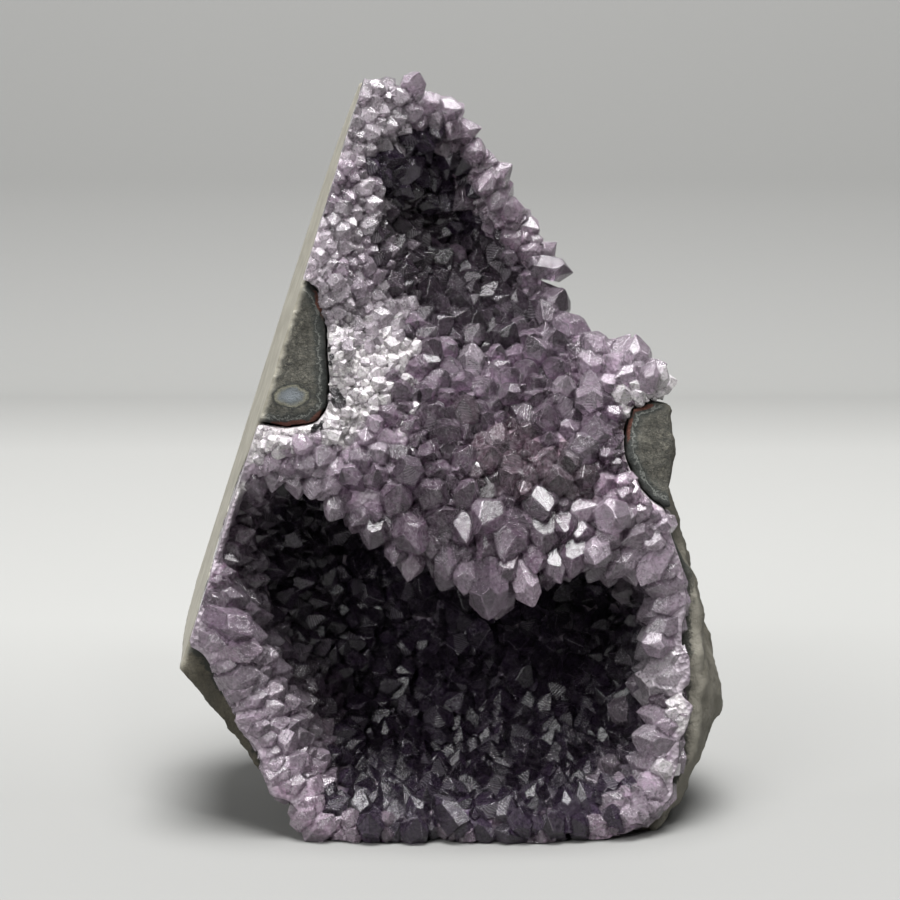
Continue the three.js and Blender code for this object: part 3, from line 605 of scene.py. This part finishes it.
# Where crystals can stand, with lengths in millimetres
BY_END = 5 # this near the septum's bare ends they also stand on thin quartz
THIN_QUARTZ = 0.7
THICK_QUARTZ = 2.2
FROM_SAW = 0.3
FROM_FLOOR = 1.0
TO_BACK = 0.55 # none stand where the bed's normal points back by more than this
EDGE_BELOW = 62, 80 # the broken edge round the lower pocket ends at these heights, right and left
EDGE_OUTWARD = 0.5 # its normal points away from the pocket's axis by more than this
EDGE_FROM_AXIS = 24
EDGE_ROOM = 1.1, 0.75 # free quartz between it and a crystal: a length, and a share of the radius
EDGE_ROOM_LOW = 0.3, 0.3 # the same for crystals that stand below the height LOW
LOW = 7
SHRINK_BY_END = 4 # this near the bare ends crystals are smaller
END_RADIUS = 0.5, 0.5 # the largest radius at the bare ends' edge, and its growth with distance
NEAREST_END = 0.2 # and nearer than this none stand

# How open each place is: the rays that test it, where they start in front of it and how far they go
RAYS = 26
GOLDEN_ANGLE = math.radians(137.5)
RAY_START = 0.8 * MM
RAY_LENGTH = 0.2


def crystal_template(draw, bevelled):
    """A six-sided crystal of radius 1, cut from a prism to a point of unequal faces. Its shoulder is at 0."""
    bpy.ops.mesh.primitive_cylinder_add(vertices=6, radius=1, depth=2 + ROOT, location=(0, 0, 1 - ROOT / 2))
    crystal = bpy.context.object
    edit(crystal)
    bpy.ops.transform.resize(value=(1, draw.uniform(*FLATNESS), 1), center_override=(0, 0, 0))
    for side in range(6):
        turn = math.radians(30 + 60 * side)
        apex = APEX * draw.uniform(*(LOW_FACES if side % 2 else HIGH_FACES))
        flat = math.sin(FACE_SLOPE)
        facing = Vector((flat * math.cos(turn), flat * math.sin(turn), math.cos(FACE_SLOPE)))
        bpy.ops.mesh.select_all(action="SELECT")
        bpy.ops.mesh.bisect(plane_co=(0, 0, apex), plane_no=facing, use_fill=True, clear_outer=True)
    leave_edit()
    mesh = crystal.data
    if bevelled:
        for edge in mesh.edges:
            edge.select = all(mesh.vertices[k].co.z > BEVEL_ABOVE for k in edge.vertices)
        bpy.ops.object.mode_set(mode="EDIT")
        bpy.ops.mesh.select_mode(type="EDGE")
        bpy.ops.mesh.bevel(offset=EDGE_BEVEL, segments=1, affect="EDGES")
        leave_edit()
    corners = np.empty(len(mesh.loops), int)
    mesh.loops.foreach_get("vertex_index", corners)
    sizes = np.empty(len(mesh.polygons), int)
    mesh.polygons.foreach_get("loop_total", sizes)
    shape = places_of(mesh), corners, sizes
    bpy.data.objects.remove(crystal)
    return shape


def joined_crystals(name, templates, stand):
    """One mesh of many crystals. stand lists (template, matrix, colour, radius)."""
    places, corners, sizes, tints, along = [], [], [], [], []
    first = 0
    for kind, matrix, tint, radius in stand:
        shape, loops, counts = templates[kind]
        places.append(shape @ np.array(matrix.to_3x3()).T + np.array(matrix.translation))
        corners.append(loops + first)
        sizes.append(counts)
        tints.append(np.tile((*tint, 1.0), (len(shape), 1)))
        along.append(shape[:, 2] * radius / MM)
        first += len(shape)
    places, corners, sizes = map(np.concatenate, (places, corners, sizes))
    mesh = bpy.data.meshes.new(name)
    mesh.vertices.add(len(places))
    mesh.vertices.foreach_set("co", places.ravel())
    mesh.loops.add(len(corners))
    mesh.loops.foreach_set("vertex_index", corners)
    mesh.polygons.add(len(sizes))
    mesh.polygons.foreach_set("loop_start", np.cumsum(sizes) - sizes)
    mesh.update(calc_edges=True)
    set_attribute(mesh, "tint", np.concatenate(tints))
    set_attribute(mesh, "along", np.concatenate(along))
    piece = bpy.data.objects.new(name, mesh)
    bpy.context.scene.collection.objects.link(piece)
    return piece


def trim(piece):
    """Cuts crystals off flush with the sawn side and just above the floor."""
    edit(piece)
    bpy.ops.mesh.bisect(plane_co=SAWN_POINT, plane_no=SAWN_NORMAL, use_fill=True, clear_inner=True)
    bpy.ops.mesh.select_all(action="SELECT")
    bpy.ops.mesh.bisect(plane_co=(0, 0, CRYSTAL_FOOT), plane_no=(0, 0, 1), use_fill=True, clear_inner=True)
    leave_edit()
    piece.data.shade_flat()
    # A random number for each face: it paints reflections by making facets brighter or darker, and picks the
    # facets with growth lines
    glint_and_lines = np.random.default_rng(SEED).random(len(piece.data.polygons))
    set_attribute(piece.data, "glint_and_lines", glint_and_lines, "FACE")


def openness(tree, places, normals):
    """The share of the space in front of each place that nothing blocks."""
    ways = []
    for k in range(RAYS):
        rise = (k + 0.5) / RAYS
        turn = k * GOLDEN_ANGLE
        flat = math.sqrt(1 - rise * rise)
        ways.append(Vector((flat * math.cos(turn), -rise, flat * math.sin(turn))))
    share = np.empty(len(places))
    for k, (place, normal) in enumerate(zip(places, normals)):
        start = Vector(place) + Vector(normal) * RAY_START
        free = sum(tree.ray_cast(start, way, RAY_LENGTH)[0] is None for way in ways)
        share[k] = free / len(ways)
    return share


def thinned(places, radii, first):
    """Some crystals first, then the largest others that have room, then smaller ones: the kept indices."""
    cell = 5.0 # millimetres, which is more than any two crystals stand apart
    grid = {}
    kept = []
    for k in first + np.argsort(-radii, kind="stable").tolist():
        place, radius = places[k] / MM, radii[k]
        home = (place // cell).astype(int)
        near = [
            stander for step in np.ndindex(3, 3, 3)
            for stander in grid.get((home[0] + step[0] - 1, home[1] + step[1] - 1, home[2] + step[2] - 1), ())
        ]
        if all(
            (place - other) @ (place - other) >= (CROWDING * (radius + size)) ** 2 for other, size in near
        ):
            grid.setdefault(tuple(home), []).append((place, radius))
            kept.append(k)
    return np.array(kept)


def broken_edge(flat, normals):
    """Which places are on the broken edge round the lower pocket, where no crystal stands."""
    from_axis = flat - np.array(POCKET_AXIS)
    reach = np.linalg.norm(from_axis, axis=1)
    outward = (from_axis / reach[:, None] * normals[:, [0, 2]]).sum(1)
    low = flat[:, 1] < np.where(flat[:, 0] > 0, *EDGE_BELOW)
    return low & (outward > EDGE_OUTWARD) & (reach > EDGE_FROM_AXIS)


def random_radius(zone, draw):
    """A crystal's radius in its zone, in millimetres."""
    _, _, least, most, _ = ZONES[zone]
    return least + (STRETCH * most - least) * draw.random() ** SMALL_BIAS


def place_standouts(flat, depths, radii):
    """Gives each standout the foremost place near its own, and its radius there: numbers by place."""
    standouts = {}
    for number, (x, z, radius, _, _) in enumerate(STANDOUTS):
        gaps = np.hypot(flat[:, 0] - x, flat[:, 1] - z)
        near = np.nonzero(gaps < STANDOUT_REACH)[0]
        k = int(near[np.argmin(depths[near])]) if len(near) else int(np.argmin(gaps))
        radii[k] = radius
        standouts[k] = number
    return standouts


def standing_places(bed, rock_tree, draw):
    """Where crystals stand on the bed: the place, normal, zone, radius and standout number of each."""
    places = places_of(bed.data)
    normals = normals_of(bed.data)
    from_rock = distances(rock_tree, places) / MM
    flat = places[:, [0, 2]] / MM
    stray = np.random.default_rng(SEED).normal(0, ZONE_BLUR, flat.shape)
    zones = np.argmin((((flat + stray)[:, None] - ZONE_MIDDLES[None]) ** 2).sum(2), axis=1)

    by_end = (from_septum(places) < BY_END) & (places[:, 1] < 0)
    thick = from_rock > np.where(by_end, THIN_QUARTZ, THICK_QUARTZ)
    clear = (beyond_saw(places) > FROM_SAW * MM) & (places[:, 2] > FROM_FLOOR * MM)
    edge = broken_edge(flat, normals) & ~by_end
    chosen = np.nonzero(thick & clear & ~(normals[:, 1] > TO_BACK) & ~edge)[0]
    edge_tree = points_tree(places[edge])
    from_edge = np.array([edge_tree.find(place)[2] for place in places[chosen]]) / MM
    from_end = from_septum(places[chosen] + normals[chosen] * MM)

    radii = np.array([random_radius(zone, draw) for zone in zones[chosen]])
    in_front = places[chosen, 1] < 0
    largest = END_RADIUS[0] + END_RADIUS[1] * np.maximum(from_end, 0)
    radii = np.where(in_front & (from_end < SHRINK_BY_END), np.minimum(radii, largest), radii)
    low = places[chosen, 2] < LOW * MM
    room = np.where(
        low, EDGE_ROOM_LOW[0] + EDGE_ROOM_LOW[1] * radii, EDGE_ROOM[0] + EDGE_ROOM[1] * radii,
    )
    roomy = (from_edge > room) & ~(in_front & (from_end < NEAREST_END))
    chosen, radii = chosen[roomy], radii[roomy]
    standouts = place_standouts(flat[chosen], places[chosen, 1], radii)
    kept = thinned(places[chosen], radii, list(standouts))
    numbers = [standouts.get(int(k)) for k in kept]
    index = chosen[kept]
    return places[index], normals[index], zones[index], radii[kept], numbers


VEIL_WHITE = (0.84, 0.72, 0.83)
CRACK_WHITE = (0.88, 0.82, 0.88)
LINE_GREY = (0.75, 0.72, 0.76)
LET_THROUGH = (0.42, 0.22, 0.52, 1.0) # the purple that absorption leaves
LINE_PITCH = 15.0 # growth lines: radians of their wave in a millimetre
GLINT_CONTRAST = 1.45 # less the haze: how much facets differ in brightness, as painted reflections

# What a facet's own random number from 0 to 1 gives it: its brightness, which is painted reflection, and
# whether it has growth lines
FACET_GLINTS = (0.0, 0.38), (0.5, 0.95), (0.88, 1.25), (1.0, 1.5)
STRIPED_FACETS = (0.80, 0.0), (0.82, 1.0), (0.93, 1.0), (0.95, 0.0)


def amethyst_finish(name, density, haze, transmission):
    """Clear purple quartz with flat faces, faint growth lines across some of them and veils inside."""
    s = Shader(name)
    glint_and_lines = s.attribute("glint_and_lines")
    veils = s.ramp(s.noise(1.6 * MM, 8, 0.72, 1.1), (0.42, 0.0), (0.66, haze))
    veiled = s.mix(veils, s.attribute("tint", "Color"), VEIL_WHITE)
    specks = s.ramp(s.noise(0.45 * MM, 5, 0.7), (0.38, 0.16), (0.54, 1.0))
    speckled = s.mix(1.0 - 0.4 * haze, veiled, specks, "MULTIPLY")
    from_crack = s.math("ABSOLUTE", s.math("SUBTRACT", s.noise(2.6 * MM, 6, 0.62, 1.8), 0.5))
    cracks = s.math("MULTIPLY", s.ramp(from_crack, (0.0, 1.0), (0.026, 0.0)), min(1.0, 1.4 * haze))
    cracked = s.mix(cracks, speckled, CRACK_WHITE)
    # Painted reflections: each facet is made brighter or darker by its random number
    glinted = s.mix(min(1.0, GLINT_CONTRAST - haze), cracked, s.ramp(glint_and_lines, *FACET_GLINTS), "MULTIPLY")

    # Growth lines run across a crystal, at steps along its axis
    height = s.math("ADD", s.attribute("along"), s.noise(3 * MM, 2))
    lines = s.math("SINE", s.math("MULTIPLY", height, LINE_PITCH))
    striped = s.ramp(glint_and_lines, *STRIPED_FACETS)
    stripes = s.math("MULTIPLY", striped, s.math("MULTIPLY_ADD", lines, 0.5, 0.5))
    lined = s.mix(s.math("MULTIPLY", stripes, 0.5), glinted, LINE_GREY)
    normal = s.bump(s.math("MULTIPLY", lines, striped), 0.03 * MM, 0.8)
    normal = s.bump(s.noise(1.1 * MM, 8, 0.72), 0.2 * MM, 0.7, normal)
    roughness = s.ramp(s.noise(2.2 * MM, 4), (0.35, 0.03), (0.7, 0.14))
    volume = s.node("ShaderNodeVolumeAbsorption", Color=LET_THROUGH, Density=density)
    return s.finish(volume, Base_Color=lined, Roughness=roughness, Normal=normal, IOR=QUARTZ_IOR,
                    Transmission_Weight=transmission)


# Each finish: absorption in the crystal, how milky it is and how much light goes through
FINISHES = {
    # amethyst_deep is the darkest, for crystals of deep colour and for those in painted shade
    "amethyst_deep": (160, 0.10, 0.72),
    "amethyst_purple": (60, 0.5, 0.79),
    "amethyst_pale": (22, 0.65, 0.70),
    "quartz_sugar": (5, 0.85, 0.45),
}
RIM_BELOW = 62 # the lower pocket's rim ends at this height in millimetres
RIM_TO_FRONT = -0.4 # the bed's normal there points forward by more than this
RIM_OPEN = 0.5 # and more than this share of the space before it is free
RIM_LIGHTER = 1.08 # how much lighter the rim's crystals are: painted light where the rim is open and turns to the front
RIM_LEAN = 0.9 # how far they lean into the pocket
PAINTED_SHADE_SHARES = 0.22, 0.52 # painted shade: deep purple below the first open share, as their zone above the second
UPPER_ABOVE = 88 # the upper hollow's crystals are pieces of their own, above this height in millimetres

# Dark specks of rock among the white crystals right of the septum's left end, in millimetres
SPECKS_BY_END = 2.6
SPECKS_X = -27, -18
SPECKS_Z = 78, 97
SPECK_SHARE = 0.5

BARE_BED = 1.5, 3.5 # the bed turns to broken quartz over these distances from the nearest crystal


def finish_for(zone_tint, painted_shade, dark_speck):
    """Which finish a crystal gets."""
    # Crystals in painted shade take the darker deep finish, as do the deep purple and dark grey zones
    if painted_shade > 0.5 or dark_speck or zone_tint in (DEEP_PURPLE, DARK_GREY):
        return "amethyst_deep"
    if zone_tint == WHITE_QUARTZ:
        return "quartz_sugar"
    if zone_tint in (WHITE_LILAC, PALE_LILAC, PINK_LILAC, CLEAR):
        return "amethyst_pale"
    return "amethyst_purple"


def standing_matrix(place, normal, radius, number, on_rim, draw):
    """Puts a plain crystal on the bed with a random lean and turn, or with its standout's direction."""
    facing = Vector(normal) + Vector([draw.uniform(-LEAN, LEAN) for _ in range(3)])
    if on_rim:
        x, _, z = place / MM
        facing += RIM_LEAN * Vector((POCKET_AXIS[0] - x, 0, POCKET_AXIS[1] - z)).normalized()
    shoulder = draw.uniform(*SHOULDERS)
    if number is not None:
        facing = Vector(STANDOUTS[number][3])
        shoulder = STANDOUT_SHOULDER
    facing.normalize()
    turn = Matrix.Rotation(draw.uniform(0, math.tau), 3, "Z")
    upright = facing.to_track_quat("Z", "Y").to_matrix() @ turn
    size = radius * MM
    at = Vector(place) + facing * shoulder * size
    return Matrix.Translation(at) @ upright.to_4x4() @ Matrix.Diagonal((size, size, size, 1))


def crystals(bed, rock_tree):
    """All the crystals, in one mesh for each finish and half, and each one's place and colour, with its
    painted shade and painted light.
    """
    draw = random.Random(SEED)
    templates = [
        crystal_template(draw, bevelled) for bevelled in (False, True) for _ in range(TEMPLATE_COUNT)
    ]
    places, normals, zones, radii, numbers = standing_places(bed, rock_tree, draw)
    # How open each place is sets the painted shade of its crystal and whether it is on the rim
    shares = openness(tree_of(bed), places, normals)
    end_gaps = from_septum(places)
    stands = {}
    tints = []
    for place, normal, zone, radius, number, share, end_gap in zip(
        places, normals, zones, radii, numbers, shares, end_gaps
    ):
        x, _, z = place / MM
        on_rim = z < RIM_BELOW and normal[1] < RIM_TO_FRONT and share > RIM_OPEN
        zone_tint = ZONES[zone][4] if number is None else STANDOUTS[number][4]
        # Painted shade: crystals in closed-in places are darkened towards deep purple, by how much of the
        # space before them is blocked
        painted_shade = float(1 - smoothstep(*PAINTED_SHADE_SHARES, share)) if number is None else 0.0
        tint = Vector(zone_tint).lerp(Vector(DEEP_PURPLE), painted_shade) * draw.uniform(*TINT_SPREAD)
        # Painted light: rim crystals that are open and turn to the front are made lighter
        if on_rim:
            tint *= RIM_LIGHTER
        tints.append(tint)
        among_specks = (
            end_gap < SPECKS_BY_END and SPECKS_X[0] < x < SPECKS_X[1] and SPECKS_Z[0] < z < SPECKS_Z[1]
        )
        dark_speck = among_specks and draw.random() < SPECK_SHARE
        if dark_speck:
            tint = Vector(GREEN_BLACK)
        matrix = standing_matrix(place, normal, radius, number, on_rim, draw)
        kind = draw.randrange(TEMPLATE_COUNT) + (TEMPLATE_COUNT if radius > SMALL else 0)
        half = "upper" if z > UPPER_ABOVE else "lower"
        stand = stands.setdefault((finish_for(zone_tint, painted_shade, dark_speck), half), [])
        stand.append((kind, matrix, tint, radius * MM))
    finishes = {name: amethyst_finish(name.replace("_", " "), *values) for name, values in FINISHES.items()}
    pieces = []
    for (finish, half), stand in sorted(stands.items()):
        piece = joined_crystals(f"{finish}_{half}", templates, stand)
        trim(piece)
        piece.data.materials.append(finishes[finish])
        piece.data.calc_loop_triangles()
        print(piece.name, len(stand), "crystals", len(piece.data.loop_triangles), "triangles")
        pieces.append(piece)
    return pieces, places, tints


def tint_bed(bed, rock_tree, places, tints):
    """Gives the bed the colours of the crystals nearest to each place, which carry their painted shade and
    painted light, and its depth on the rock.
    """
    standing = points_tree(places)
    own = places_of(bed.data)
    colours = np.ones((len(own), 4))
    bare = Vector(BROKEN_QUARTZ)
    for k, place in enumerate(own):
        _, nearest, gap = standing.find(place)
        colours[k, :3] = tints[nearest].lerp(bare, float(smoothstep(*BARE_BED, gap / MM)))
    set_attribute(bed.data, "tint", colours)
    set_attribute(bed.data, "from_rock", distances(rock_tree, own) / MM)
    bed.data.materials.append(quartz_bed_finish())


# Stage, lights and camera

FLOOR_HALF = 2.5 # metres
WALL_AT = 0.80 # the backdrop rises here, behind the part
WALL_RISE = (0, 0.2, 2.5)
WALL_CURVE = 0.10
CURVE_STEPS = 24

# The floor's and the backdrop's greys along y, from under the part to the wall: a painted shadow in front of
# the part, a painted pool of light on the floor behind it and painted shade on the wall
SWEEP_PAINTED_LIGHT = (
    (0.0, (0.24, 0.24, 0.234)), (0.18, (0.325, 0.325, 0.316)), (0.52, (0.365, 0.365, 0.355)),
    (0.72, (0.30, 0.30, 0.292)), (0.80, (0.255, 0.255, 0.249)),
)

# Each lamp: name, place, width in metres and power in watts
LAMPS = (
    ("overhead softbox", (0.05, -0.22, 1.4), 0.95, 48),
    ("front softbox", (-0.75, -1.3, 0.9), 0.85, 16),
    ("small lamp", (0.45, -0.9, 1.1), 0.18, 3),
)
LAMPS_TOWARDS = Vector((0, 0, 0.06))
ROOM_TONE = (0.95, 0.96, 1.0, 1)
ROOM_STRENGTH = 0.55


def sweep():
    """A pale floor that curves up into a backdrop."""
    bpy.ops.mesh.primitive_plane_add(size=2 * FLOOR_HALF, location=(0, WALL_AT - FLOOR_HALF, 0))
    floor = bpy.context.object
    floor.name = "studio_sweep"
    bpy.ops.object.transform_apply(location=True)
    for edge in floor.data.edges:
        edge.select = all(floor.data.vertices[k].co.y > 0 for k in edge.vertices)
    for vertex in floor.data.vertices:
        vertex.select = vertex.co.y > 0
    bpy.ops.object.mode_set(mode="EDIT")
    bpy.ops.mesh.select_mode(type="EDGE")
    bpy.ops.mesh.extrude_region_move(TRANSFORM_OT_translate={"value": WALL_RISE})
    leave_edit()
    bevel = floor.modifiers.new("curve", "BEVEL")
    bevel.width = WALL_CURVE
    bevel.segments = CURVE_STEPS
    bevel.limit_method = "ANGLE"
    apply_modifiers(floor)
    bpy.ops.object.shade_smooth()
    s = Shader("studio grey")
    backwards = s.node("ShaderNodeSeparateXYZ", Vector=s.place).outputs["Y"]
    # The floor's grey follows y: painted shadow, painted light and painted shade
    floor.data.materials.append(s.finish(Base_Color=s.ramp(backwards, *SWEEP_PAINTED_LIGHT), Roughness=0.9))


def area_light(name, at, size, power):
    lamp = bpy.data.lights.new(name, "AREA")
    lamp.shape = "DISK"
    lamp.size = size
    lamp.energy = power
    light = bpy.data.objects.new(name, lamp)
    light.location = at
    light.rotation_euler = (LAMPS_TOWARDS - Vector(at)).to_track_quat("-Z", "Y").to_euler()
    bpy.context.scene.collection.objects.link(light)


def lights():
    """The lamps, the light of the room, and how far light is followed through the crystals."""
    for lamp in LAMPS:
        area_light(*lamp)
    world = bpy.data.worlds.new("room")
    world.use_nodes = True
    background = world.node_tree.nodes["Background"]
    background.inputs["Color"].default_value = ROOM_TONE
    background.inputs["Strength"].default_value = ROOM_STRENGTH
    scene = bpy.context.scene
    scene.world = world
    scene.view_settings.view_transform = "Standard"
    scene.cycles.max_bounces = 9
    scene.cycles.transmission_bounces = 7
    scene.cycles.diffuse_bounces = 3
    scene.cycles.glossy_bounces = 4


def camera():
    data = bpy.data.cameras.new("camera")
    data.lens = CAMERA_LENS
    data.sensor_width = CAMERA_SENSOR
    data.clip_start = 0.01
    view = bpy.data.objects.new("camera", data)
    view.location = Vector(CAMERA_AT) * MM
    looking = (Vector(CAMERA_TARGET) - Vector(CAMERA_AT)).to_track_quat("-Z", "Y")
    view.rotation_euler = looking.to_euler()
    bpy.context.scene.collection.objects.link(view)
    bpy.context.scene.camera = view


camera()
sweep()
lights()

rock = basalt_rock()
rock_tree = tree_of(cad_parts["basalt_matrix"])
bed = quartz_bed(rock_tree)
growth, standing, tints = crystals(bed, rock_tree)
tint_bed(bed, rock_tree, standing, tints)

finished = [(rock, "basalt_matrix", "basalt"), (bed, "amethyst_crust", "quartz_bed")]
finished += [(piece, "amethyst_crust", "amethyst") for piece in growth]
for piece, node, slot in finished:
    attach(piece, "root")
    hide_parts(node)
